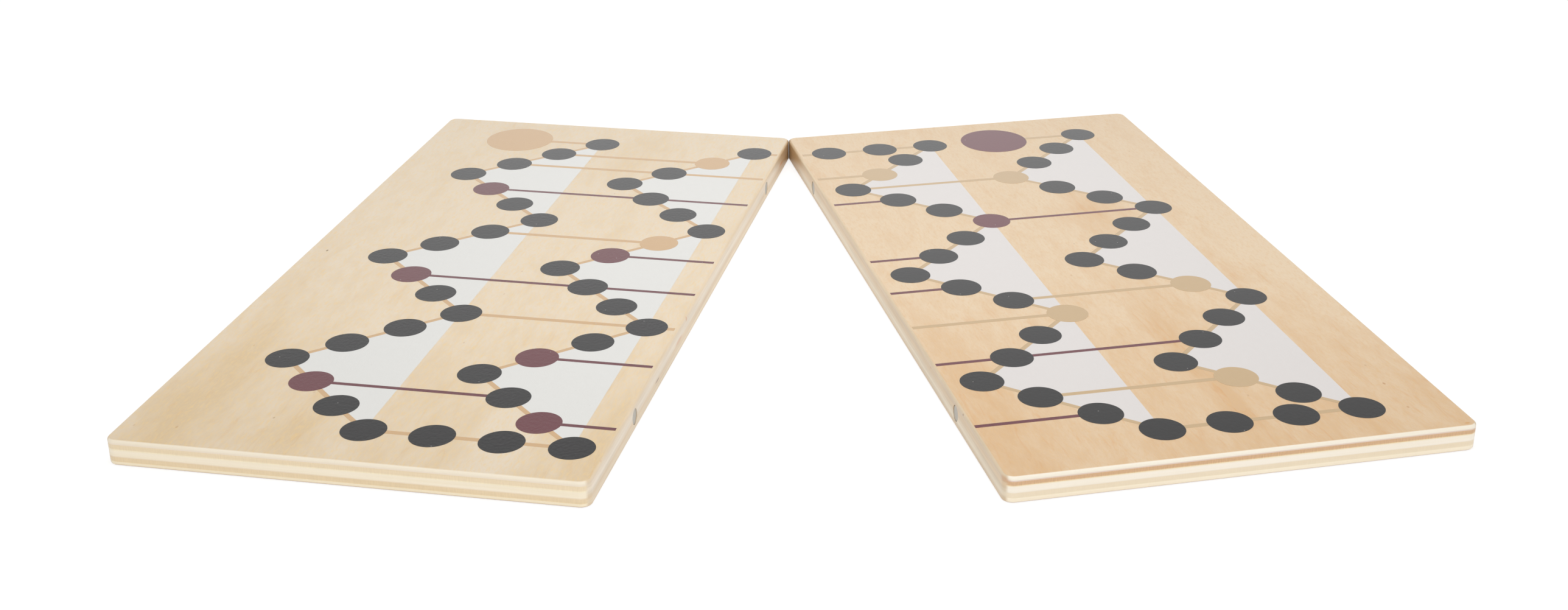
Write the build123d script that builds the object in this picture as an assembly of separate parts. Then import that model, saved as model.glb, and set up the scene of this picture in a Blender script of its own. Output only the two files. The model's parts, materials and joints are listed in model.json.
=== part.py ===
from build123d import *
import os
from math import atan2, cos, degrees, hypot, radians, sin, tan

# A plywood game board in two loose halves that lie on a table in a V and touch at their far inner
# corners. Pushed together, they meet along one seam, where small disc magnets hold them.
# Millimetres and degrees. Z is up from the table, X runs across the V, and Y runs away from its mouth.

# Both halves
half_width = 174.0
half_length = 350.0
board_thickness = 10.0
corner_radius = 4.0
top_arris = 1.2
bottom_arris = 0.8
opening_angle = 23.0
seam_clearance = 0.05

# Veneers of the left half, from the top down; the core takes up the rest of the thickness
left_top_veneer = 1.8
left_upper_crossband = 2.2
left_lower_crossband = 1.85
left_bottom_veneer = 1.5

# Veneers of the right half
right_top_veneer = 1.8
right_upper_crossband = 1.65
right_lower_crossband = 1.9
right_bottom_veneer = 1.95

# Disc magnets in the mating edge: height above the table, and distance from the end of the half
magnet_diameter = 6.0
magnet_thickness = 3.0
magnet_rim = 0.3
magnet_fit = 0.05
magnet_recess = 0.2
magnet_height = 5.1
magnet_inset = 58.0

# Printed track: stops in rows, zigzagging left of two straight columns on each half
ink_thickness = 0.05
stop_radius = 8.2
row_step = 16.8
last_row_step = 16.0
lean_step = 16.8
column_spacing = 75.4
link_width = 2.0
tan_line_width = 2.3
plum_line_width = 2.0
goal_radius = 16.0

# Left half: first stop of its outer column from the mating edge and the far edge
left_track_inset = 87.8
left_first_row = 26.0
left_goal_reach = 41.8
left_line_margin = 1.3

# Right half: first stop of its inner column from the mating edge and the far edge
right_track_inset = 65.1
right_first_row = 27.0
right_goal_reach = 43.2
right_line_margin = 1.9
right_print_turn = -0.2

# The pattern in counts: rows after the first, and rows from one point of the zigzag to the next
last_row = 18
rows_per_flight = 3

# Worked out from the sizes above
half_angle = opening_angle / 2
pivot_reach = (corner_radius + seam_clearance / 2) * tan(radians(half_angle / 2))
pivot_y = half_length / 2 - corner_radius + pivot_reach
mating_x = seam_clearance / 2
bore_radius = magnet_diameter / 2 + magnet_fit
bore_depth = magnet_recess + magnet_thickness


def swung_y(x, y):
    """Height in plan of a point of the closed right half once it is swung out to its place in the V."""
    return pivot_y + x * sin(radians(half_angle)) + (y - pivot_y) * cos(radians(half_angle))


# Middle of the V from front to back, measured over the rounded corners
far_y = swung_y(mating_x + half_width - corner_radius, half_length / 2 - corner_radius) + corner_radius
near_y = swung_y(mating_x + corner_radius, corner_radius - half_length / 2) - corner_radius
middle_y = (far_y + near_y) / 2


def swing_out(side):
    """Place of a half in the V: turned about the pivot behind the touching corners."""
    to_pivot = Pos(0, pivot_y - middle_y, 0)
    return to_pivot * Rot(0, 0, side * half_angle) * Pos(0, -pivot_y, 0)


def magnet_place(side, end, distance):
    """Place on the axis of one magnet, at a distance from the seam's middle plane."""
    y = end * (half_length / 2 - magnet_inset)
    return Pos(side * distance, y, magnet_height) * Rot(0, 90, 0)


def magnet(side, end):
    """One disc magnet with a rounded rim, seated on the end of its bore."""
    middle = mating_x + magnet_recess + magnet_thickness / 2
    disc = Cylinder(magnet_diameter / 2, magnet_thickness)
    disc = fillet(disc.edges().filter_by(GeomType.CIRCLE), magnet_rim)
    return magnet_place(side, end, middle) * disc


def magnet_bores(side):
    """The two blind bores of a half, from the seam's middle plane to their full depth."""
    reach = mating_x + bore_depth
    bore = Cylinder(bore_radius, reach)
    return [magnet_place(side, end, reach / 2) * bore for end in (-1, 1)]


def veneer(side, bottom, thickness):
    """One flat sheet of a half with its rounded corners."""
    outline = RectangleRounded(half_width, half_length, corner_radius)
    return Pos(side * (mating_x + half_width / 2), 0, bottom) * extrude(outline, thickness)


def half_board(side, top, upper, lower, bottom):
    """The five glued sheets of one half, with the arrises rounded and the magnet bores cut."""
    core = board_thickness - top - upper - lower - bottom
    names = ["bottom_veneer", "lower_crossband", "core", "upper_crossband", "top_veneer"]
    sheets = {}
    height = 0
    for name, thickness in zip(names, [bottom, lower, core, upper, top]):
        sheets[name] = veneer(side, height, thickness)
        height += thickness
    upper_face = sheets["top_veneer"].faces().sort_by(Axis.Z)[-1]
    lower_face = sheets["bottom_veneer"].faces().sort_by(Axis.Z)[0]
    sheets["top_veneer"] = fillet(upper_face.edges(), min(top_arris, 0.9 * top))
    sheets["bottom_veneer"] = fillet(lower_face.edges(), min(bottom_arris, 0.9 * bottom))
    bores = magnet_bores(side)
    return {name: sheet - bores for name, sheet in sheets.items()}


def row_y(row):
    """Distance of a row below the first one, as a negative y."""
    steps = min(row, last_row - 1) * row_step
    return -steps - (last_row_step if row == last_row else 0)


def lean(row):
    """Distance of a stop left of its column: it grows for three rows and shrinks for three."""
    phase = row % (2 * rows_per_flight)
    return min(phase, 2 * rows_per_flight - phase) * lean_step


def stop_place(column, row):
    """Centre of a stop of the zigzag. Columns are numbered 0 and 1 from the left."""
    return (column * column_spacing - lean(row), row_y(row))


def strip(start, end, width):
    """A straight printed line between two points."""
    length = hypot(end[0] - start[0], end[1] - start[1])
    angle = degrees(atan2(end[1] - start[1], end[0] - start[0]))
    middle = ((start[0] + end[0]) / 2, (start[1] + end[1]) / 2)
    return Pos(*middle) * Rot(0, 0, angle) * Rectangle(length, width)


def disc(centre, radius=stop_radius):
    """A printed round spot."""
    return Pos(*centre) * Circle(radius)


def zigzag_links():
    """The lines that join neighbouring stops of both zigzags."""
    rows = range(last_row)
    places = [(stop_place(c, r), stop_place(c, r + 1)) for c in (0, 1) for r in rows]
    return [strip(start, end, link_width) for start, end in places]


def white_triangles():
    """The white fields between each zigzag and its column."""
    fields = []
    for column in (0, 1):
        for row in range(0, last_row, 2 * rows_per_flight):
            corners = [stop_place(column, row + i * rows_per_flight) for i in range(3)]
            fields.append(make_face(Polyline(*corners, close=True)))
    return fields


def row_places(row, thirds):
    """Centres of stops in a straight row, counted in thirds of the column spacing."""
    return [(column_spacing * third / 3, row_y(row)) for third in thirds]


def ladder(row, start, end, width):
    """A level line at a row. Each end is a column number, or the x of an edge given as a float."""
    ends = [stop_place(end, row)[0] if isinstance(end, int) else end for end in (start, end)]
    return strip((ends[0], row_y(row)), (ends[1], row_y(row)), width)


def left_print():
    """The print of the left half, about the first stop of its outer column."""
    edge = float(left_track_inset - left_line_margin)
    goal = (-left_goal_reach, 0)
    tan_stops = [(1, 1), (1, 7)]
    plum_stops = [(0, 4), (0, 10), (0, 16), (1, 8), (1, 14), (1, 17)]
    tan_ladders = [(0, 1, edge), (1, 0, 1), (2, 0, edge), (7, 0, 1), (12, 0, edge)]
    plum_ladders = [(4, 0, edge), (8, 1, edge), (10, 0, edge), (14, 1, edge), (16, 0, 1), (17, 1, edge)]
    extra_stops = row_places(last_row, [1, 2])
    tan_extra = [strip(goal, stop_place(0, 0), tan_line_width)]
    return print_layers(tan_stops, plum_stops, extra_stops, tan_ladders, plum_ladders, tan_extra,
                        {"tan": [goal]})


def right_print():
    """The print of the right half, about the first stop of its inner column."""
    edge = float(right_line_margin - right_track_inset)
    goal = (column_spacing - right_goal_reach, 0)
    tan_stops = [(0, 2), (0, 12), (1, 3), (1, 11), (1, 16)]
    plum_stops = [(0, 6)]
    tan_ladders = [(0, edge, 0), (2, edge, 0), (3, 0, 1), (11, 0, 1), (12, edge, 0), (16, 0, 1)]
    plum_ladders = [(4, edge, 0), (6, 0, 1), (8, edge, 0), (10, edge, 0), (14, edge, 1), (17, edge, 0)]
    extra_stops = row_places(0, [-2, -1]) + row_places(last_row, [1, 2])
    tan_extra = [strip(goal, stop_place(1, 0), tan_line_width)]
    return print_layers(tan_stops, plum_stops, extra_stops, tan_ladders, plum_ladders, tan_extra,
                        {"plum": [goal]})


def print_layers(tan_stops, plum_stops, extra_stops, tan_ladders, plum_ladders, tan_extra, goals):
    """The flat shapes of each ink. Spots lie over lines and lines over white, with no overlap."""
    coloured = tan_stops + plum_stops
    every_stop = [(column, row) for column in (0, 1) for row in range(last_row + 1)]
    black = [stop_place(*stop) for stop in every_stop if stop not in coloured] + extra_stops
    spots = {
        "black_spots": [disc(centre) for centre in black],
        "plum_spots": [disc(stop_place(*stop)) for stop in plum_stops],
        "tan_spots": [disc(stop_place(*stop)) for stop in tan_stops],
    }
    for colour, centres in goals.items():
        spots[colour + "_spots"] += [disc(centre, goal_radius) for centre in centres]
    all_spots = [spot for group in spots.values() for spot in group]
    bottom_link = strip(stop_place(0, last_row), stop_place(1, last_row), tan_line_width)
    tan_lines = zigzag_links() + [bottom_link] + tan_extra
    tan_lines += [ladder(*line, tan_line_width) for line in tan_ladders]
    plum_lines = [ladder(*line, plum_line_width) for line in plum_ladders]
    layers = {name: Sketch() + group for name, group in spots.items()}
    layers["plum_lines"] = Sketch() + plum_lines - all_spots
    layers["tan_lines"] = Sketch() + tan_lines - plum_lines - all_spots
    layers["white_fields"] = Sketch() + white_triangles() - tan_lines - plum_lines - all_spots
    return layers


def printed(layers, origin, turn):
    """Each ink as thin solids on top of a half, turned a little about the print's origin."""
    place = Pos(*origin, board_thickness) * Rot(0, 0, turn)
    return {name: place * extrude(layer, ink_thickness) for name, layer in layers.items()}


left_side, right_side = -1, 1
left_origin = (-mating_x - left_track_inset, half_length / 2 - left_first_row)
right_origin = (mating_x + right_track_inset, half_length / 2 - right_first_row)
left_parts = half_board(left_side, left_top_veneer, left_upper_crossband, left_lower_crossband,
                        left_bottom_veneer)
right_parts = half_board(right_side, right_top_veneer, right_upper_crossband, right_lower_crossband,
                         right_bottom_veneer)
left_parts.update(printed(left_print(), left_origin, 0))
right_parts.update(printed(right_print(), right_origin, right_print_turn))
for side, parts in ((left_side, left_parts), (right_side, right_parts)):
    parts["far_magnet"] = magnet(side, 1)
    parts["near_magnet"] = magnet(side, -1)

os.makedirs("parts", exist_ok=True)
for prefix, side, parts in (("left_", left_side, left_parts), ("right_", right_side, right_parts)):
    for name, part in parts.items():
        placed = swing_out(side) * part
        export_step(placed, f"parts/{prefix}{name}.step")
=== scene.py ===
# A plywood game board in two halves that lie in a V, printed with a winding track of round stops.
# Metres. Z is up from the table, X runs across the V, and Y runs away from its mouth.
import json
from math import hypot, pi, radians, tan

import bpy
import numpy as np
from mathutils import Matrix, Vector


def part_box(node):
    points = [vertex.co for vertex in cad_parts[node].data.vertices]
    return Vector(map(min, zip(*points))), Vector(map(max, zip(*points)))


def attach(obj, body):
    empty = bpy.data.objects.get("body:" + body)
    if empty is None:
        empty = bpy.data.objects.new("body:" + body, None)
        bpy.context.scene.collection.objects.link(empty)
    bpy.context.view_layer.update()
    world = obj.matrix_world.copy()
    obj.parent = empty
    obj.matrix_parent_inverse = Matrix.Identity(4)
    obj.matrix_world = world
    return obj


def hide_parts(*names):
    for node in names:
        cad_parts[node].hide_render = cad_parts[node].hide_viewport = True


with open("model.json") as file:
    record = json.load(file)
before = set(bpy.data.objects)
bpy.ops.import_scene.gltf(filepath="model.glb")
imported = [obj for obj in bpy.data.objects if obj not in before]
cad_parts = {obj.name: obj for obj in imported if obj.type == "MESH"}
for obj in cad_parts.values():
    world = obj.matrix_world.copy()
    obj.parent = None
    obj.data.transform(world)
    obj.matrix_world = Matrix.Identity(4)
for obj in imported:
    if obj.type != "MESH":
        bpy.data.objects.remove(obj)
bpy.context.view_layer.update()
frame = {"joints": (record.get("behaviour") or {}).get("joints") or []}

# Sizes of both halves
half_width = 0.174
half_length = 0.350
corner_radius = 0.004
top_arris = 0.0012
bottom_arris = 0.0008
seam_clearance = 0.00005
mating_x = seam_clearance / 2

# Magnets in the mating edge, two on each half
magnet_ends = ("far", "near")
magnet_radius = 0.003
magnet_thickness = 0.003
magnet_rim = 0.0003
magnet_fit = 0.00005
magnet_recess = 0.0002

# Printed track: stops in rows, zigzagging left of two straight columns on each half
stop_radius = 0.0082
goal_radius = 0.016
row_step = 0.0168
last_row_step = 0.0160
column_spacing = 0.0754
link_width = 0.0020
tan_line_width = 0.0023
plum_line_width = 0.0020
last_row = 18
rows_per_flight = 3

# Place of each half's print, from the mating edge and the far edge
left_track_inset = 0.0878
left_first_row = 0.026
left_goal_reach = 0.0418
left_line_margin = 0.0013
right_track_inset = 0.0651
right_first_row = 0.027
right_goal_reach = 0.0432
right_line_margin = 0.0019
right_print_turn = radians(-0.2)

# How finely round shapes are divided: steps in a quarter turn, and sides of a full one
corner_steps = 12
arris_steps = 8
rim_steps = 6
magnet_sides = 64
spot_sides = 96

# From the frame: the opening and the pivot of the V, and the tops of the board and of its print
swing_joint = frame["joints"][0]
half_angle = radians(max(abs(limit) for limit in swing_joint["range_deg"])) / 2
pivot = Vector(swing_joint["pos_m"])
pivot_reach = (corner_radius + mating_x) * tan(half_angle / 2)
closed_pivot_y = half_length / 2 - corner_radius + pivot_reach
board_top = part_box("left_top_veneer")[1].z
print_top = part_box("left_black_spots")[1].z

sides = {"left": -1, "right": 1}
print_places = {
    "left": ((-mating_x - left_track_inset, half_length / 2 - left_first_row), 0.0),
    "right": ((mating_x + right_track_inset, half_length / 2 - right_first_row), right_print_turn),
}


def swing(side):
    """Matrix from the closed board to the V: a turn of half the opening about the pivot."""
    turn = Matrix.Rotation(side * half_angle, 4, "Z")
    return (Matrix.Translation((pivot.x, pivot.y, 0)) @ turn
            @ Matrix.Translation((0, -closed_pivot_y, 0)))


def swung(points, side):
    """Points of the closed board, as rows of x, y and z, moved to their place in the V."""
    matrix = np.array(swing(side))
    return np.asarray(points) @ matrix[:3, :3].T + matrix[:3, 3]


# Meshes

def make_piece(name, points, faces, material=None):
    """An object at the origin from points in place and faces that point outwards."""
    mesh = bpy.data.meshes.new(name)
    mesh.from_pydata(np.asarray(points).tolist(), [], [list(face) for face in faces])
    mesh.update()
    piece = bpy.data.objects.new(name, mesh)
    bpy.context.scene.collection.objects.link(piece)
    if material:
        mesh.materials.append(material)
    return piece


def ring_faces(rings, around):
    """Quads of a closed grid: ring j runs anticlockwise, and ring j + 1 lies above or inside it."""
    low, at = np.meshgrid(np.arange(rings - 1), np.arange(around), indexing="ij")
    here = low * around + at
    beside = low * around + (at + 1) % around
    return np.stack([here, beside, beside + around, here + around], axis=-1).reshape(-1, 4).tolist()


def closed_grid(rings, around):
    """Faces of a closed skin: its quads, the first ring turned over as a floor, the last as a lid."""
    floor = list(range(around))[::-1]
    lid = list(range((rings - 1) * around, rings * around))
    return ring_faces(rings, around) + [floor, lid]


def rounded_outline():
    """Corner centres and unit directions of a rounded rectangle about the origin. A point of the
    outline is the centre plus the corner radius times the direction, anticlockwise."""
    turn = np.linspace(0, pi / 2, corner_steps + 1)
    quarters = [turn + corner * pi / 2 for corner in range(4)]
    signs = [(1, 1), (-1, 1), (-1, -1), (1, -1)]
    reach = np.array([half_width / 2 - corner_radius, half_length / 2 - corner_radius])
    centres = np.concatenate([np.tile(reach * sign, (corner_steps + 1, 1)) for sign in signs])
    angles = np.concatenate(quarters)
    return centres, np.stack([np.cos(angles), np.sin(angles)], axis=1)


def arris_profile(low, high, low_radius, high_radius):
    """Insets and heights up the edge of a sheet: a quarter circle at an arris with a radius, and a
    plain corner at one without."""
    turn = np.linspace(0, pi / 2, arris_steps + 1)
    if low_radius:
        insets = list(low_radius * (1 - np.sin(turn)))
        heights = list(low + low_radius * (1 - np.cos(turn)))
    else:
        insets, heights = [0.0], [low]
    if high_radius:
        insets += list(high_radius * (1 - np.cos(turn)))
        heights += list(high - high_radius * (1 - np.sin(turn)))
    else:
        insets.append(0.0)
        heights.append(high)
    return np.array(insets), np.array(heights)


def sheet_points(side, low, high, low_radius, high_radius):
    """Points of one sheet of plywood, how many rings they form and how many points each ring has.
    Ring j is the outline drawn in by inset j, at height j: corner centre plus (corner radius minus
    inset) times direction."""
    centres, directions = rounded_outline()
    insets, heights = arris_profile(low, high, low_radius, high_radius)
    plan = centres[None] + (corner_radius - insets)[:, None, None] * directions[None]
    plan[..., 0] += side * (mating_x + half_width / 2)
    height = np.broadcast_to(heights[:, None, None], plan.shape[:2] + (1,))
    return np.concatenate([plan, height], axis=2).reshape(-1, 3), len(heights), len(centres)


def turned_points(radii, depths):
    """Rings of a magnet or its hole: ring j is a circle of radius j at depth j along its own axis."""
    turn = np.arange(magnet_sides) * 2 * pi / magnet_sides
    circle = np.stack([np.cos(turn), np.sin(turn)], axis=1)
    plan = np.asarray(radii)[:, None, None] * circle[None]
    depth = np.broadcast_to(np.asarray(depths)[:, None, None], plan.shape[:2] + (1,))
    return np.concatenate([plan, depth], axis=2).reshape(-1, 3)


def smooth_over(piece, angle=35.0):
    """Shades a piece smooth, with sharp edges where its faces meet at more than the angle."""
    piece.data.shade_smooth()
    piece.data.set_sharp_from_angle(angle=radians(angle))


def magnet_axis(half, end):
    """Where a magnet's axis meets the mating face of the closed board: its y and its z."""
    low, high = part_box(f"{half}_{end}_magnet")
    middle = swing(sides[half]).inverted() @ ((low + high) / 2)
    return middle.y, middle.z


def across_the_seam(points, side, y, z):
    """Turns points whose depth runs along Z so that the depth runs into the half from the seam."""
    depth, up, along = points[:, 2], points[:, 0], points[:, 1] * side
    return np.stack([side * depth, y - along, z + up], axis=1)


def settle(piece):
    """Replaces a piece's mesh by the one that its modifiers give."""
    bpy.context.view_layer.update()
    finished = piece.evaluated_get(bpy.context.evaluated_depsgraph_get())
    mesh = bpy.data.meshes.new_from_object(finished)
    piece.modifiers.clear()
    piece.data = mesh


def cut_holes(piece, half):
    """Cuts the two blind magnet holes out of a sheet."""
    side = sides[half]
    depth = mating_x + magnet_recess + magnet_thickness
    radius = magnet_radius + magnet_fit
    cutters = []
    for end in magnet_ends:
        y, z = magnet_axis(half, end)
        rings = turned_points([radius, radius], [-mating_x, depth])
        points = swung(across_the_seam(rings, side, y, z), side)
        cutter = make_piece(f"{piece.name}_{end}_cutter", points, closed_grid(2, magnet_sides))
        cut = piece.modifiers.new(f"{end}_hole", "BOOLEAN")
        cut.object = cutter
        cut.solver = "EXACT"
        cutters.append(cutter)
    settle(piece)
    for cutter in cutters:
        bpy.data.objects.remove(cutter)


def even_normals(piece):
    """Lets the broad flat faces set the normals, so that the rounded arrises run into them."""
    weigh = piece.modifiers.new("broad_faces_first", "WEIGHTED_NORMAL")
    weigh.keep_sharp = True
    settle(piece)


# Finishes

def display_colour(colour):
    """A colour given as it shows on a screen, 0 to 255, as the linear colour that a shader takes."""
    shown = np.array(colour) / 255
    linear = np.where(shown <= 0.04045, shown / 12.92, ((shown + 0.055) / 1.055) ** 2.4)
    return (*linear.tolist(), 1.0)


def grey(level):
    """A linear colour with no tint."""
    return (level, level, level, 1.0)


class Shading:
    """Short ways to add nodes to a material or to the surround, and to feed them."""

    def __init__(self, owner):
        owner.use_nodes = True
        self.nodes = owner.node_tree.nodes
        self.links = owner.node_tree.links

    def feed(self, socket, value):
        """Gives a socket another node's output, or a plain value."""
        if isinstance(value, bpy.types.NodeSocket):
            self.links.new(value, socket)
        else:
            socket.default_value = value

    def node(self, kind, inputs, **settings):
        """Adds a node, with its settings and its inputs by name or number."""
        added = self.nodes.new(kind)
        for key, value in settings.items():
            setattr(added, key, value)
        for key, value in inputs.items():
            self.feed(added.inputs[key], value)
        return added

    def math(self, operation, first, second=0.0):
        """The result of one sum on two numbers."""
        return self.node("ShaderNodeMath", {0: first, 1: second}, operation=operation).outputs[0]

    def ramp(self, value, start, end, low, high, shape="LINEAR"):
        """A value brought from low, up to start, to high, from end."""
        inputs = {"Value": value, "From Min": start, "From Max": end, "To Min": low, "To Max": high}
        return self.node("ShaderNodeMapRange", inputs, interpolation_type=shape).outputs[0]

    def fade(self, value, start, end, low=0.0, high=1.0):
        """Smooth step of a value: low up to start, high from end."""
        return self.ramp(value, start, end, low, high, "SMOOTHSTEP")

    def between(self, share, first, second):
        """A number that goes from the first to the second as the share goes from 0 to 1."""
        return self.node("ShaderNodeMix", {"Factor": share, "A": first, "B": second}).outputs[0]

    def mix(self, share, first, second, blend="MIX"):
        """A colour that goes from the first to the second, or to their blend, by a share."""
        added = self.node("ShaderNodeMix", {}, data_type="RGBA", blend_type=blend)
        for key, value in {"Factor": share, "A": first, "B": second}.items():
            fitting = [socket for socket in added.inputs if socket.name == key and socket.enabled]
            self.feed(fitting[0], value)
        return [socket for socket in added.outputs if socket.enabled][0]

    def parts(self, place):
        """The x, y and z of a place."""
        return self.node("ShaderNodeSeparateXYZ", {0: place}).outputs

    def moved(self, place, offset):
        """A place shifted by an offset."""
        return self.node("ShaderNodeVectorMath", {0: place, 1: offset}, operation="ADD").outputs[0]

    def stretched(self, place, factors):
        """A place with its x, y and z scaled by three factors."""
        return self.node("ShaderNodeVectorMath", {0: place, 1: factors}, operation="MULTIPLY").outputs[0]


class Finish(Shading):
    """A material in the making, and the patterns that it can be given."""

    def __init__(self, name):
        self.material = bpy.data.materials.new(name)
        super().__init__(self.material)
        self.shader = self.nodes["Principled BSDF"]

    def placed_by(self, matrix):
        """The place of a point in the frame that a matrix carries to the V."""
        back = matrix.inverted()
        coordinates = self.node("ShaderNodeTexCoord", {}).outputs["Object"]
        inputs = {"Vector": coordinates, "Location": back.to_translation(),
                  "Rotation": back.to_euler()}
        return self.node("ShaderNodeMapping", inputs, vector_type="POINT").outputs[0]

    def upward(self):
        """How far the surface looks up: 1 on a top, 0 on an edge, -1 underneath."""
        normal = self.node("ShaderNodeNewGeometry", {}).outputs["Normal"]
        return self.parts(normal)[2]

    def grain(self, place, stretch, detail=2.0, roughness=0.5, distortion=0.0):
        """Noise from 0 to 1 with its x, y and z stretched: marks run long where a factor is small."""
        inputs = {"Vector": self.stretched(place, stretch), "Scale": 1.0, "Detail": detail,
                  "Roughness": roughness, "Distortion": distortion}
        return self.node("ShaderNodeTexNoise", inputs).outputs["Fac"]

    def oval(self, place, centre, reach, core=0.35):
        """A soft oval spot: 1 out to the share core of its reach in x, y and z, 0 from the reach."""
        away = self.moved(place, [-value for value in centre])
        scaled = self.stretched(away, [1 / value for value in reach])
        distance = self.node("ShaderNodeVectorMath", {0: scaled}, operation="LENGTH").outputs["Value"]
        return self.fade(distance, core, 1.0, 1.0, 0.0)

    def specks(self, place, spacing, size, share):
        """Tiny specks: about one in every square of the spacing, on a share of the squares."""
        scaled = self.stretched(place, [1 / spacing] * 3)
        cells = self.node("ShaderNodeTexVoronoi", {"Vector": scaled, "Scale": 1.0},
                          voronoi_dimensions="2D")
        kept = self.math("LESS_THAN", self.parts(cells.outputs["Color"])[0], share)
        close = self.fade(cells.outputs["Distance"], 0.4 * size / spacing, size / spacing, 1.0, 0.0)
        return self.math("MULTIPLY", kept, close)

    def tinted(self, tone, colour, share):
        """A tone with a colour laid over it by a share. The colour is given as it shows."""
        return self.mix(share, tone, display_colour(colour))

    def shaded(self, tone, level):
        """A tone made lighter or darker by a level about 1."""
        plain = self.node("ShaderNodeCombineColor", {0: level, 1: level, 2: level}).outputs[0]
        return self.mix(1.0, tone, plain, "MULTIPLY")

    def marked(self, tone, place, marks):
        """A tone with small marks laid over it, each with a centre, a reach, a colour and a share."""
        for centre, reach, colour, share in marks:
            spread = self.math("MULTIPLY", self.oval(place, centre, reach), share)
            tone = self.tinted(tone, colour, spread)
        return tone

    def wear(self, tone, roughness):
        """Gives the shader its colour and its roughness."""
        self.feed(self.shader.inputs["Base Color"], tone)
        self.feed(self.shader.inputs["Roughness"], roughness)

    def bump(self, height, distance, strength):
        """Gives the shader a bump of the height, from 0 to 1, times the distance."""
        inputs = {"Height": height, "Distance": distance, "Strength": strength}
        self.feed(self.shader.inputs["Normal"], self.node("ShaderNodeBump", inputs).outputs[0])


def flat_wood(finish, place, look):
    """Colour of a sanded, lacquered face, with its grain along Y, and its fibres. The colour runs
    from pale to warm by a share: warmer towards the mouth of the V and in broad patches, with soft
    mottling. The run from warm at the mouth to pale at the far end is painted sheen, standing in for
    the lacquer shining more towards the far end, and the near end is darkened as painted shade. The
    patches and the mottling are the wood's own tone. Wisps, fine hairs and flecks lie over it."""
    mottling, fleck_share, fibre_relief = 0.26, 0.3, 0.012
    seeded = finish.moved(place, (look["seed"], look["seed"], 0.0))
    along = finish.parts(place)[1]
    # Painted sheen: the face is warm at the mouth of the V and pale towards the far end, where the
    # lacquer shines more.
    warmth_and_sheen = finish.fade(along, start=-0.18, end=0.05, low=look["near"], high=look["far"])
    mottle = finish.grain(seeded, (150, 45, 45), detail=6.0, roughness=0.72, distortion=0.3)
    warmth_and_sheen = finish.math("ADD", warmth_and_sheen, finish.fade(mottle, 0.3, 0.7, -mottling, mottling))
    for (x, y), (width, length), amount in look["patches"]:
        patch = finish.oval(place, (x, y, board_top / 2), (width, length, 1.0), core=0.1)
        warmth_and_sheen = finish.math("ADD", warmth_and_sheen, finish.math("MULTIPLY", patch, amount))
    tone = finish.tinted(display_colour(look["pale"]), look["warm"], warmth_and_sheen)
    wisps = finish.grain(seeded, (320, 38, 38), detail=4.0, roughness=0.65, distortion=1.2)
    wispy = finish.math("MULTIPLY", finish.fade(wisps, 0.52, 0.74), finish.math("ADD", warmth_and_sheen, 0.15))
    tone = finish.tinted(tone, look["wisp"], finish.math("MULTIPLY", wispy, look["wisps"]))
    hairs = finish.grain(seeded, (1100, 300, 300), detail=3.0, roughness=0.7, distortion=0.5)
    tone = finish.tinted(tone, look["hair"], finish.fade(hairs, 0.44, 0.72, 0.0, look["hairs"]))
    halved = finish.stretched(place, (1.0, 0.5, 1.0))
    flecks = finish.specks(halved, spacing=0.013, size=0.0005, share=0.08)
    tone = finish.tinted(tone, look["fleck"], finish.math("MULTIPLY", flecks, fleck_share))
    fibres = finish.grain(seeded, (900, 120, 120), detail=4.0, roughness=0.65)
    # Painted shade: the near end of the face is darkened.
    level = finish.math("ADD", finish.fade(along, start=-0.19, end=-0.06, low=look["painted_near_shade"]),
                        finish.fade(fibres, 0.25, 0.75, -fibre_relief, fibre_relief))
    return finish.shaded(tone, level), fibres


def on_short_edges(finish, place):
    """How much a place belongs to the near and far edges of a half: 1 there and 0 on the long edges,
    with a soft change at the corners."""
    blend_start, blend_end = -0.0012, 0.0010
    across, along, _ = finish.parts(place)
    from_middle = finish.math("SUBTRACT", finish.math("ABSOLUTE", across), mating_x + half_width / 2)
    inside_x = finish.math("SUBTRACT", half_width / 2, finish.math("ABSOLUTE", from_middle))
    inside_y = finish.math("SUBTRACT", half_length / 2, finish.math("ABSOLUTE", along))
    return finish.fade(finish.math("SUBTRACT", inside_x, inside_y), blend_start, blend_end)


def short_edge(finish, place, streaks, low, high, look):
    """Colour of a sheet's near and far edges: streaked along, with a line of another tone at its
    foot or head, and a fine upright hatch that is strong where the sheet's grain is cut across. On the
    bottom veneer the line at the foot is painted shade under the rounded arris, next to the floor."""
    line_share = 0.9
    height = finish.parts(place)[2]
    tone = finish.tinted(display_colour(look["short"]), look["short_streak"],
                         finish.fade(streaks, 0.35, 0.7))
    colour, reach = look["low_line_and_shade"]
    # On the bottom veneer this line at the foot is painted shade under the arris.
    line = finish.fade(height, low + reach / 2, low + reach, line_share, 0.0)
    tone = finish.tinted(tone, colour, line)
    if "high_line" in look:
        colour, reach = look["high_line"]
        line = finish.fade(height, high - reach, high - reach / 2, 0.0, line_share)
        tone = finish.tinted(tone, colour, line)
    hatch = finish.grain(place, (2200, 2200, 260), detail=3.0, roughness=0.7)
    return finish.shaded(tone, finish.fade(hatch, 0.25, 0.75, 1 - look["hatch"], 1 + look["hatch"]))


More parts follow.
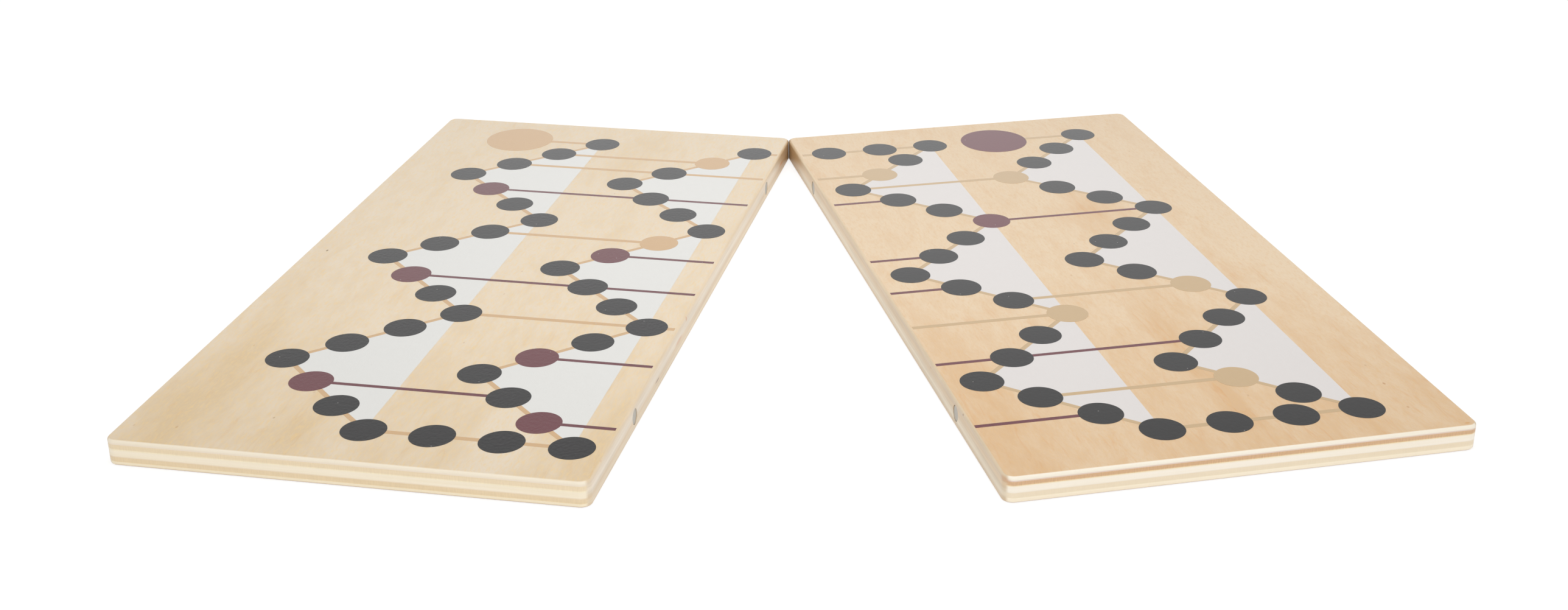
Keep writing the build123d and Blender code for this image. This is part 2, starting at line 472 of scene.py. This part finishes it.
def long_edge(finish, place, streaks, low, high, look):
    """Colour of a sheet's mating and outer edges: it changes up the sheet, is clouded and streaked,
    and grows lighter towards the far end."""
    _, along, height = finish.parts(place)
    tone = finish.tinted(display_colour(look["long_low"]), look["long"], finish.fade(height, low, high))
    clouds = finish.grain(place, (45, 45, 160), detail=3.0, roughness=0.6)
    tone = finish.shaded(tone, finish.fade(clouds, 0.3, 0.7, low=1.02, high=0.98))
    tone = finish.shaded(tone, finish.fade(streaks, 0.32, 0.68, low=1.06, high=0.93))
    return finish.shaded(tone, finish.fade(along, start=-0.12, end=0.10, low=0.93, high=1.035))


def edge_wood(finish, place, low, high, look):
    """Colour of a sheet's sanded edge, and its streaks. The short edges and the long ones cut the
    grain different ways, so each has its own tone."""
    streaks = finish.grain(place, (16, 16, 800), detail=4.0, roughness=0.7, distortion=0.2)
    short = short_edge(finish, place, streaks, low, high, look)
    long = long_edge(finish, place, streaks, low, high, look)
    return finish.mix(on_short_edges(finish, place), long, short), streaks


def sheet_finish(half, name, low, high):
    """The wood of one sheet: its edge, and on the two outer sheets the face, seen flat on."""
    finish = Finish(f"{half} {name.replace('_', ' ')} wood")
    place = finish.placed_by(swing(sides[half]))
    tone, fibres = edge_wood(finish, place, low, high, edge_looks[half][name])
    tone = finish.marked(tone, place, edge_marks[half])
    if name in ("top_veneer", "bottom_veneer"):
        face, fibres = flat_wood(finish, place, face_looks[half])
        face = finish.marked(face, place, face_marks[half])
        start, end = edge_looks[half][name]["turn"]
        flat = finish.fade(finish.math("ABSOLUTE", finish.upward()), start, end)
        tone = finish.mix(flat, tone, face)
    finish.wear(tone, roughness=finish.fade(fibres, 0.25, 0.75, low=0.36, high=0.44))
    finish.bump(fibres, distance=0.00003, strength=0.4)
    return finish.material


def ink(name, half, colour):
    """Screen-printed ink of one half: satin, finely leathery, with a little dust on it."""
    finish = Finish(f"{half} {name} ink")
    origin, turn = print_places[half]
    lay = swing(sides[half]) @ Matrix.Translation((*origin, 0)) @ Matrix.Rotation(turn, 4, "Z")
    place = finish.placed_by(lay)
    clouds = finish.grain(place, (320, 200, 200), detail=4.0, roughness=0.6)
    level = finish.fade(clouds, 0.25, 0.75, low=0.994, high=1.006)
    tone = finish.shaded(display_colour(colour), level)
    dust = finish.specks(place, spacing=0.009, size=0.0003, share=0.12)
    tone = finish.tinted(tone, dust_colour, finish.math("MULTIPLY", dust, dust_share))
    skin = finish.grain(place, (900, 600, 600), detail=3.0, roughness=0.6)
    finish.wear(tone, roughness=finish.fade(skin, 0.3, 0.7, low=0.25, high=0.27))
    finish.bump(skin, distance=0.00006, strength=ink_skins[half])
    return finish.material


def nickel():
    """Satin plating on a magnet: a grey metal with faint fine marks."""
    finish = Finish("magnet plating")
    place = finish.node("ShaderNodeTexCoord", {}).outputs["Object"]
    marks = finish.grain(place, (1800, 1800, 1800))
    dull, bright = (158, 152, 142), (180, 174, 163)
    tone = finish.tinted(display_colour(dull), bright, marks)
    finish.wear(tone, roughness=finish.fade(marks, 0.3, 0.7, low=0.3, high=0.42))
    finish.shader.inputs["Metallic"].default_value = 1.0
    finish.bump(marks, distance=0.00002, strength=0.4)
    return finish.material


# Looks of the faces. Colours are as they show on a screen, 0 to 255. Near and far say how warm the
# ends of a face are; the run between them is painted sheen, pale towards the far end. The near level
# says how far the near end is darkened as painted shade, and wisps and hairs say how strongly they show.
# Patches are soft ovals of the closed board, warmer or paler than the rest: centre, reach and share.
face_looks = {
    "left": {
        "pale": (221, 205, 182), "warm": (212, 187, 149), "near": 0.50, "far": 0.05, "painted_near_shade": 0.955,
        "wisp": (214, 178, 128), "wisps": 0.6, "hair": (226, 196, 140), "hairs": 0.65,
        "fleck": (176, 132, 86), "seed": 0.37,
        "patches": [
            ((-0.155, -0.135), (0.020, 0.120), 0.50), ((-0.112, -0.155), (0.014, 0.070), 0.30),
            ((-0.004, -0.165), (0.010, 0.100), 0.35), ((-0.037, -0.150), (0.018, 0.070), -0.65),
            ((-0.092, -0.150), (0.014, 0.060), -0.20), ((-0.068, 0.135), (0.030, 0.060), 0.30),
            ((-0.145, 0.120), (0.018, 0.060), 0.12), ((-0.164, -0.020), (0.012, 0.050), 0.25),
            ((-0.052, 0.050), (0.010, 0.060), 0.20), ((-0.118, -0.080), (0.012, 0.050), -0.25),
        ],
    },
    "right": {
        "pale": (221, 198, 167), "warm": (210, 174, 131), "near": 0.62, "far": 0.07, "painted_near_shade": 0.98,
        "wisp": (209, 160, 108), "wisps": 0.7, "hair": (214, 176, 124), "hairs": 0.5,
        "fleck": (170, 122, 76), "seed": 1.91,
        "patches": [
            ((0.008, -0.135), (0.018, 0.140), 0.30), ((0.096, -0.120), (0.010, 0.120), 0.45),
            ((0.112, 0.045), (0.020, 0.055), 0.55), ((0.104, -0.050), (0.014, 0.060), 0.25),
            ((0.136, -0.150), (0.012, 0.070), 0.25), ((0.168, -0.020), (0.020, 0.120), -0.30),
            ((0.040, -0.130), (0.012, 0.090), -0.15),
        ],
    },
}

# Looks of the sheets' edges. Short is the tone of the near and far edges, with its streaks, the
# strength of its hatch, and lines of another tone at the foot or the head: colour and reach. On the
# bottom veneers the line at the foot is painted shade under the rounded arris, next to the floor. Long
# is the tone of the mating and outer edges at the head, and long_low at the foot. Turn says how far a
# surface looks up where the edge's tone starts to give way to the face's, and where it has gone.
edge_looks = {
    "left": {
        "top_veneer": {"short": (235, 224, 204), "short_streak": (233, 221, 199), "hatch": 0.005,
                       "low_line_and_shade": ((230, 215, 195), 0.0007), "turn": (0.72, 0.99),
                       "long": (223, 201, 170), "long_low": (228, 210, 185)},
        "upper_crossband": {"short": (229, 209, 176), "short_streak": (226, 206, 171), "hatch": 0.045,
                            "low_line_and_shade": ((239, 226, 196), 0.00055),
                            "long": (228, 210, 185), "long_low": (232, 218, 198)},
        "core": {"short": (240, 228, 206), "short_streak": (237, 224, 198), "hatch": 0.006,
                 "low_line_and_shade": ((230, 212, 186), 0.0005),
                 "long": (232, 217, 196), "long_low": (222, 199, 166)},
        "lower_crossband": {"short": (226, 204, 168), "short_streak": (223, 200, 162), "hatch": 0.045,
                            "low_line_and_shade": ((235, 214, 174), 0.0003),
                            "long": (223, 200, 168), "long_low": (231, 213, 185)},
        # The bottom veneer's line at the foot is painted shade under its arris.
        "bottom_veneer": {"short": (242, 228, 200), "short_streak": (239, 224, 195), "hatch": 0.006,
                          "low_line_and_shade": ((196, 162, 134), 0.0006), "turn": (0.93, 0.995),
                          "long": (228, 207, 178), "long_low": (224, 200, 166)},
    },
    "right": {
        "top_veneer": {"short": (238, 230, 214), "short_streak": (236, 227, 209), "hatch": 0.005,
                       "low_line_and_shade": ((218, 194, 178), 0.0006), "turn": (0.85, 0.998),
                       "long": (216, 196, 166), "long_low": (215, 192, 162)},
        "upper_crossband": {"short": (207, 169, 131), "short_streak": (204, 165, 124), "hatch": 0.10,
                            "low_line_and_shade": ((228, 200, 154), 0.00035),
                            "long": (215, 190, 158), "long_low": (218, 192, 157)},
        "core": {"short": (242, 233, 218), "short_streak": (240, 230, 212), "hatch": 0.006,
                 "low_line_and_shade": ((234, 222, 204), 0.0004), "high_line": ((238, 225, 198), 0.0005),
                 "long": (219, 194, 160), "long_low": (226, 209, 182)},
        "lower_crossband": {"short": (231, 215, 188), "short_streak": (229, 212, 183), "hatch": 0.02,
                            "low_line_and_shade": ((234, 219, 189), 0.0003),
                            "long": (230, 215, 190), "long_low": (226, 209, 182)},
        # The bottom veneer's line at the foot is painted shade under its arris.
        "bottom_veneer": {"short": (245, 233, 210), "short_streak": (243, 229, 204), "hatch": 0.006,
                          "low_line_and_shade": ((206, 172, 146), 0.0005), "turn": (0.93, 0.995),
                          "long": (221, 199, 168), "long_low": (216, 189, 156)},
    },
}

# Small marks, in the closed board: centre, reach, colour and share. The first two of each half's
# edges are painted shade in the throat of the V: a broad warm brown one, tinted like light thrown
# back and forth between the mating faces, and a darker one deep in the throat.
throat_shade = ((0.0, 0.1740, 0.0060), (0.004, 0.0055, 0.0200), (120, 86, 48), 0.7)
edge_marks = {
    # The first two marks of each half are painted warm shade and painted dark shade in the throat.
    "left": [((0.0, 0.1700, 0.0060), (0.004, 0.0360, 0.0200), (188, 148, 92), 0.6),
             throat_shade,
             ((0.0, -0.0392, 0.0086), (0.002, 0.0011, 0.0013), (206, 146, 96), 0.75),
             ((0.0, -0.0515, 0.0049), (0.002, 0.0070, 0.0010), (214, 172, 138), 0.75),
             ((0.0, -0.0850, 0.0040), (0.002, 0.0036, 0.0006), (150, 122, 106), 0.75),
             ((0.0, -0.0065, 0.0036), (0.002, 0.0110, 0.0007), (206, 180, 152), 0.6),
             ((0.0, -0.1590, 0.0099), (0.002, 0.0012, 0.0007), (204, 168, 140), 0.5),
             ((0.0, 0.1520, 0.0047), (0.002, 0.0052, 0.0010), (214, 150, 84), 0.8)],
    "right": [((0.0, 0.1700, 0.0060), (0.004, 0.0360, 0.0200), (182, 144, 90), 0.6),
              throat_shade,
              ((0.0, -0.1260, 0.0090), (0.002, 0.0008, 0.0006), (140, 100, 80), 0.7),
              ((0.0, -0.0840, 0.0077), (0.002, 0.0009, 0.0005), (196, 140, 90), 0.6),
              ((0.0, -0.1730, 0.0085), (0.003, 0.0040, 0.0014), (196, 144, 100), 0.5)],
}
face_marks = {
    "left": [((-0.1658, -0.0011, 0.010), (0.0006, 0.0011, 0.004), (110, 88, 60), 0.8),
             ((-0.1225, -0.1494, 0.010), (0.0005, 0.0009, 0.004), (150, 120, 84), 0.5),
             ((-0.1530, -0.1620, 0.010), (0.0006, 0.0012, 0.004), (184, 140, 88), 0.5)],
    "right": [((0.1700, -0.1728, 0.010), (0.0014, 0.0007, 0.004), (204, 146, 78), 0.7),
              ((0.1563, -0.1379, 0.010), (0.0007, 0.0012, 0.004), (176, 120, 70), 0.6),
              ((0.1557, -0.1570, 0.010), (0.0006, 0.0010, 0.004), (176, 120, 70), 0.5)],
}

# Looks of the print: the colours of the inks, the colour of the dust on them and how strongly it
# shows, and how strongly the ink's leathery skin shows
ink_colours = {
    "left": {"white": (214, 213, 209), "tan": (198, 164, 123), "plum": (103, 55, 61),
             "black": (38, 37, 37)},
    "right": {"white": (212, 207, 204), "tan": (191, 164, 126), "plum": (105, 56, 63),
              "black": (38, 37, 37)},
}
dust_colour, dust_share = (190, 188, 184), 0.45
ink_skins = {"left": 0.8, "right": 0.5}
inks = {half: {name: ink(name, half, colour) for name, colour in colours.items()}
        for half, colours in ink_colours.items()}
plating = nickel()


# The sheets and magnets of each half

sheet_slots = {
    "left": {"bottom_veneer": "left_face_wood", "lower_crossband": "crossband_wood", "core": "core_wood",
             "upper_crossband": "crossband_wood", "top_veneer": "left_face_wood"},
    "right": {"bottom_veneer": "right_face_wood", "lower_crossband": "crossband_wood",
              "core": "core_wood", "upper_crossband": "brown_crossband_wood",
              "top_veneer": "right_face_wood"},
}


def dress(piece, half, node):
    """Puts a finished piece under its half, and hides the part of the model that it stands for."""
    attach(piece, f"{half}_half")
    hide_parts(f"{half}_{node}")


def make_sheet(half, name):
    """One sheet of plywood, as high as its node."""
    side = sides[half]
    low, high = (corner.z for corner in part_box(f"{half}_{name}"))
    low_radius = bottom_arris if name == "bottom_veneer" else 0
    high_radius = top_arris if name == "top_veneer" else 0
    points, rings, around = sheet_points(side, low, high, low_radius, high_radius)
    wood = sheet_finish(half, name, low, high)
    piece = make_piece(f"{half}_{name}_sheet", swung(points, side), closed_grid(rings, around), wood)
    cut_holes(piece, half)
    smooth_over(piece)
    even_normals(piece)
    dress(piece, half, name)


def make_magnet(half, end):
    """One plated disc with a rounded rim: its rings run from the hidden back to the face."""
    side = sides[half]
    y, z = magnet_axis(half, end)
    turn = np.linspace(0, pi / 2, rim_steps + 1)
    near = mating_x + magnet_recess
    far = near + magnet_thickness
    inner = magnet_radius - magnet_rim
    radii = np.concatenate([inner + magnet_rim * np.sin(turn), inner + magnet_rim * np.cos(turn)])
    depths = np.concatenate([near + magnet_rim * (1 - np.cos(turn)),
                             far - magnet_rim * (1 - np.sin(turn))])
    rings = turned_points(radii, depths)
    points = swung(across_the_seam(rings, side, y, z), side)
    faces = closed_grid(len(radii), magnet_sides)
    piece = make_piece(f"{half}_{end}_magnet_disc", points, faces, plating)
    smooth_over(piece, angle=50.0)
    even_normals(piece)
    dress(piece, half, f"{end}_magnet")


# The print

# Height of each ink's top, as a share of the print's thickness
ink_levels = {"white": 0.4, "tan": 0.6, "plum": 0.8, "spot": 1.0}


def ink_height(level):
    """Height of an ink's top. Later inks lie over earlier ones, all within the print's thickness."""
    return board_top + ink_levels[level] * (print_top - board_top)


def row_y(row):
    """Distance of a row below the first one, as a negative y."""
    steps = min(row, last_row - 1) * row_step
    return -steps - (last_row_step if row == last_row else 0)


def lean(row):
    """Distance of a stop left of its column: it grows for three rows and shrinks for three."""
    phase = row % (2 * rows_per_flight)
    return min(phase, 2 * rows_per_flight - phase) * row_step


def stop_place(column, row):
    """Centre of a stop of the zigzag. Columns are numbered 0 and 1 from the left."""
    return (column * column_spacing - lean(row), row_y(row))


def row_places(row, thirds):
    """Centres of stops in a straight row, counted in thirds of the column spacing."""
    return [(column_spacing * third / 3, row_y(row)) for third in thirds]


def strip(start, end, width):
    """The four corners of a straight printed line, anticlockwise."""
    length = hypot(end[0] - start[0], end[1] - start[1])
    across = (-(end[1] - start[1]) / length * width / 2, (end[0] - start[0]) / length * width / 2)
    return [(start[0] - across[0], start[1] - across[1]), (end[0] - across[0], end[1] - across[1]),
            (end[0] + across[0], end[1] + across[1]), (start[0] + across[0], start[1] + across[1])]


def spot(centre, radius=stop_radius):
    """Points of a round spot, anticlockwise: centre plus radius times direction."""
    turn = np.arange(spot_sides) * 2 * pi / spot_sides
    return np.stack([centre[0] + radius * np.cos(turn), centre[1] + radius * np.sin(turn)], axis=1)


def print_mesh(shapes, top):
    """Flat slabs from the board's top up to the ink's: a bottom ring and a top ring of each shape."""
    points, faces, first = [], [], 0
    for shape in shapes:
        plan = np.asarray(shape)
        for height in (board_top, top):
            points.append(np.column_stack([plan, np.full(len(plan), height)]))
        faces += [[first + corner for corner in face] for face in closed_grid(2, len(plan))]
        first += 2 * len(plan)
    return np.concatenate(points), faces


def ladder(row, start, end, width):
    """A level line at a row. Each end is a column number, or the x of an edge given as a float."""
    ends = [stop_place(end, row)[0] if isinstance(end, int) else end for end in (start, end)]
    return strip((ends[0], row_y(row)), (ends[1], row_y(row)), width)


def print_half(half, tan_stops, plum_stops, extra_stops, tan_ladders, plum_ladders,
               goal, goal_column, goal_colour):
    """All inks of a half, drawn about the print's origin, turned with the print and set on the board:
    the white triangles of the zigzags, then the lines, then the spots."""
    origin, turn = print_places[half]
    coloured = tan_stops + plum_stops
    every_stop = [(column, row) for column in (0, 1) for row in range(last_row + 1)]
    black = [stop_place(*stop) for stop in every_stop if stop not in coloured] + extra_stops
    white = [[stop_place(column, row + corner * rows_per_flight) for corner in range(3)]
             for column in (0, 1) for row in range(0, last_row, 2 * rows_per_flight)]
    links = [(stop_place(column, row), stop_place(column, row + 1))
             for column in (0, 1) for row in range(last_row)]
    last_link = (stop_place(0, last_row), stop_place(1, last_row))
    goal_link = (goal, stop_place(goal_column, 0))
    tan_lines = [strip(*link, link_width) for link in links]
    tan_lines += [strip(*link, tan_line_width) for link in (last_link, goal_link)]
    tan_lines += [ladder(*line, tan_line_width) for line in tan_ladders]
    plum_lines = [ladder(*line, plum_line_width) for line in plum_ladders]
    spots = {"black": [spot(centre) for centre in black],
             "tan": [spot(stop_place(*stop)) for stop in tan_stops],
             "plum": [spot(stop_place(*stop)) for stop in plum_stops]}
    spots[goal_colour].append(spot(goal, goal_radius))
    layers = [("white_fields", white, "white", "white"), ("tan_lines", tan_lines, "tan", "tan"),
              ("plum_lines", plum_lines, "plum", "plum")]
    layers += [(f"{colour}_spots", spots[colour], "spot", colour) for colour in ("black", "tan", "plum")]
    for name, shapes, level, colour in layers:
        points, faces = print_mesh(shapes, ink_height(level))
        spun = points @ np.array(Matrix.Rotation(turn, 3, "Z")).T
        placed = swung(spun + np.array([*origin, 0.0]), sides[half])
        piece = make_piece(f"{half}_{name}_print", placed, faces, inks[half][colour])
        dress(piece, half, name)


for half in sides:
    for name in sheet_slots[half]:
        make_sheet(half, name)
    for end in magnet_ends:
        make_magnet(half, end)

left_edge = float(left_track_inset - left_line_margin)
print_half(
    "left",
    tan_stops=[(1, 1), (1, 7)],
    plum_stops=[(0, 4), (0, 10), (0, 16), (1, 8), (1, 14), (1, 17)],
    extra_stops=row_places(last_row, [1, 2]),
    tan_ladders=[(0, 1, left_edge), (1, 0, 1), (2, 0, left_edge), (7, 0, 1), (12, 0, left_edge)],
    plum_ladders=[(4, 0, left_edge), (8, 1, left_edge), (10, 0, left_edge), (14, 1, left_edge),
                  (16, 0, 1), (17, 1, left_edge)],
    goal=(-left_goal_reach, 0), goal_column=0, goal_colour="tan",
)
right_edge = float(right_line_margin - right_track_inset)
print_half(
    "right",
    tan_stops=[(0, 2), (0, 12), (1, 3), (1, 11), (1, 16)],
    plum_stops=[(0, 6)],
    extra_stops=row_places(0, [-2, -1]) + row_places(last_row, [1, 2]),
    tan_ladders=[(0, right_edge, 0), (2, right_edge, 0), (3, 0, 1), (11, 0, 1), (12, right_edge, 0),
                 (16, 0, 1)],
    plum_ladders=[(4, right_edge, 0), (6, 0, 1), (8, right_edge, 0), (10, right_edge, 0),
                  (14, right_edge, 1), (17, right_edge, 0)],
    goal=(column_spacing - right_goal_reach, 0), goal_column=1, goal_colour="plum",
)


# Floor, light and camera

def make_floor(size=8.0, drop=0.00002, bounce=0.82, seen_bounce=0.30, seen_glow=0.76):
    """A plain pale floor, a hair below the board. It throws most of the light back onto the object.
    Seen by the camera or in a reflection it glows near white, with soft shadows."""
    points = [(-size, -size, -drop), (size, -size, -drop), (size, size, -drop), (-size, size, -drop)]
    finish = Finish("pale floor")
    finish.nodes.remove(finish.shader)
    rays = finish.node("ShaderNodeLightPath", {}).outputs
    shown = finish.math("MAXIMUM", rays["Is Camera Ray"], rays["Is Glossy Ray"])
    plain = finish.node("ShaderNodeBsdfDiffuse", {"Color": grey(bounce)})
    dim = finish.node("ShaderNodeBsdfDiffuse", {"Color": grey(seen_bounce)})
    glow = finish.node("ShaderNodeEmission", {"Color": grey(1.0), "Strength": seen_glow})
    lit = finish.node("ShaderNodeAddShader", {0: dim.outputs[0], 1: glow.outputs[0]})
    both = finish.node("ShaderNodeMixShader", {0: shown, 1: plain.outputs[0], 2: lit.outputs[0]})
    finish.feed(finish.nodes["Material Output"].inputs["Surface"], both.outputs[0])
    floor = make_piece("floor", points, [[0, 1, 2, 3]], finish.material)


def make_world(level=0.76):
    """A white surround: plain white where it is seen, a little dimmer where it lights the object. In
    reflections it is brightest straight behind the board, low down, and fades upwards and sideways."""
    world = bpy.data.worlds.new("white surround")
    bpy.context.scene.world = world
    shading = Shading(world)
    rays = shading.node("ShaderNodeLightPath", {}).outputs
    across, _, up = shading.parts(shading.node("ShaderNodeTexCoord", {}).outputs["Generated"])
    by_height = shading.ramp(up, start=0.28, end=0.52, low=1.6, high=0.2)
    sideways = shading.math("ABSOLUTE", across)
    by_breadth = shading.fade(sideways, start=0.04, end=0.5, low=1.0, high=0.64)
    reflected = shading.math("MULTIPLY", by_height, by_breadth)
    strength = shading.between(rays["Is Glossy Ray"], level, reflected)
    strength = shading.between(rays["Is Camera Ray"], strength, 1.0)
    surround = shading.nodes["Background"]
    shading.feed(surround.inputs["Color"], grey(1.0))
    shading.feed(surround.inputs["Strength"], strength)


def make_lamp(name, place, target, size, power):
    """A square soft lamp that looks at a point."""
    lamp = bpy.data.lights.new(name, "AREA")
    lamp.shape = "SQUARE"
    lamp.size = size
    lamp.energy = power
    holder = bpy.data.objects.new(name, lamp)
    holder.location = place
    holder.rotation_euler = (Vector(target) - Vector(place)).to_track_quat("-Z", "Y").to_euler()
    bpy.context.scene.collection.objects.link(holder)


def make_camera():
    """The photograph's viewpoint: a long lens from the mouth of the V, looking down at 24 degrees.
    The lens's axis meets the picture a little to the right of its middle. The picture is measured in
    pixels, the sensor in millimetres and the camera's place in metres."""
    picture_width, picture_height = 2576, 1002
    focal_pixels = 3226.2
    axis_x, axis_y = 1337.5, 501.0
    sensor = 36.0
    place = (-0.00558, -0.75886, 0.32949)
    pitch, yaw, roll = radians(24.156), radians(-1.129), radians(-0.08)
    camera = bpy.data.cameras.new("camera")
    camera.sensor_fit = "HORIZONTAL"
    camera.sensor_width = sensor
    camera.lens = focal_pixels / picture_width * sensor
    camera.shift_x = (picture_width / 2 - axis_x) / picture_width
    camera.shift_y = (axis_y - picture_height / 2) / picture_width
    camera.clip_start = 0.01
    holder = bpy.data.objects.new("camera", camera)
    bpy.context.scene.collection.objects.link(holder)
    holder.matrix_world = (Matrix.Translation(place)
                           @ Matrix.Rotation(yaw, 4, "Z") @ Matrix.Rotation(pi / 2 - pitch, 4, "X")
                           @ Matrix.Rotation(roll, 4, "Z"))
    bpy.context.scene.camera = holder


make_floor()
make_world()
make_lamp("overhead softbox", place=(0.02, -0.04, 0.55), target=(0.02, -0.04, 0), size=0.4, power=1.17)
make_lamp("front softbox", place=(0.2, -1.6, 0.8), target=(0, 0, 0), size=1.0, power=7.0)
make_camera()
bpy.context.scene.view_settings.view_transform = "Standard"
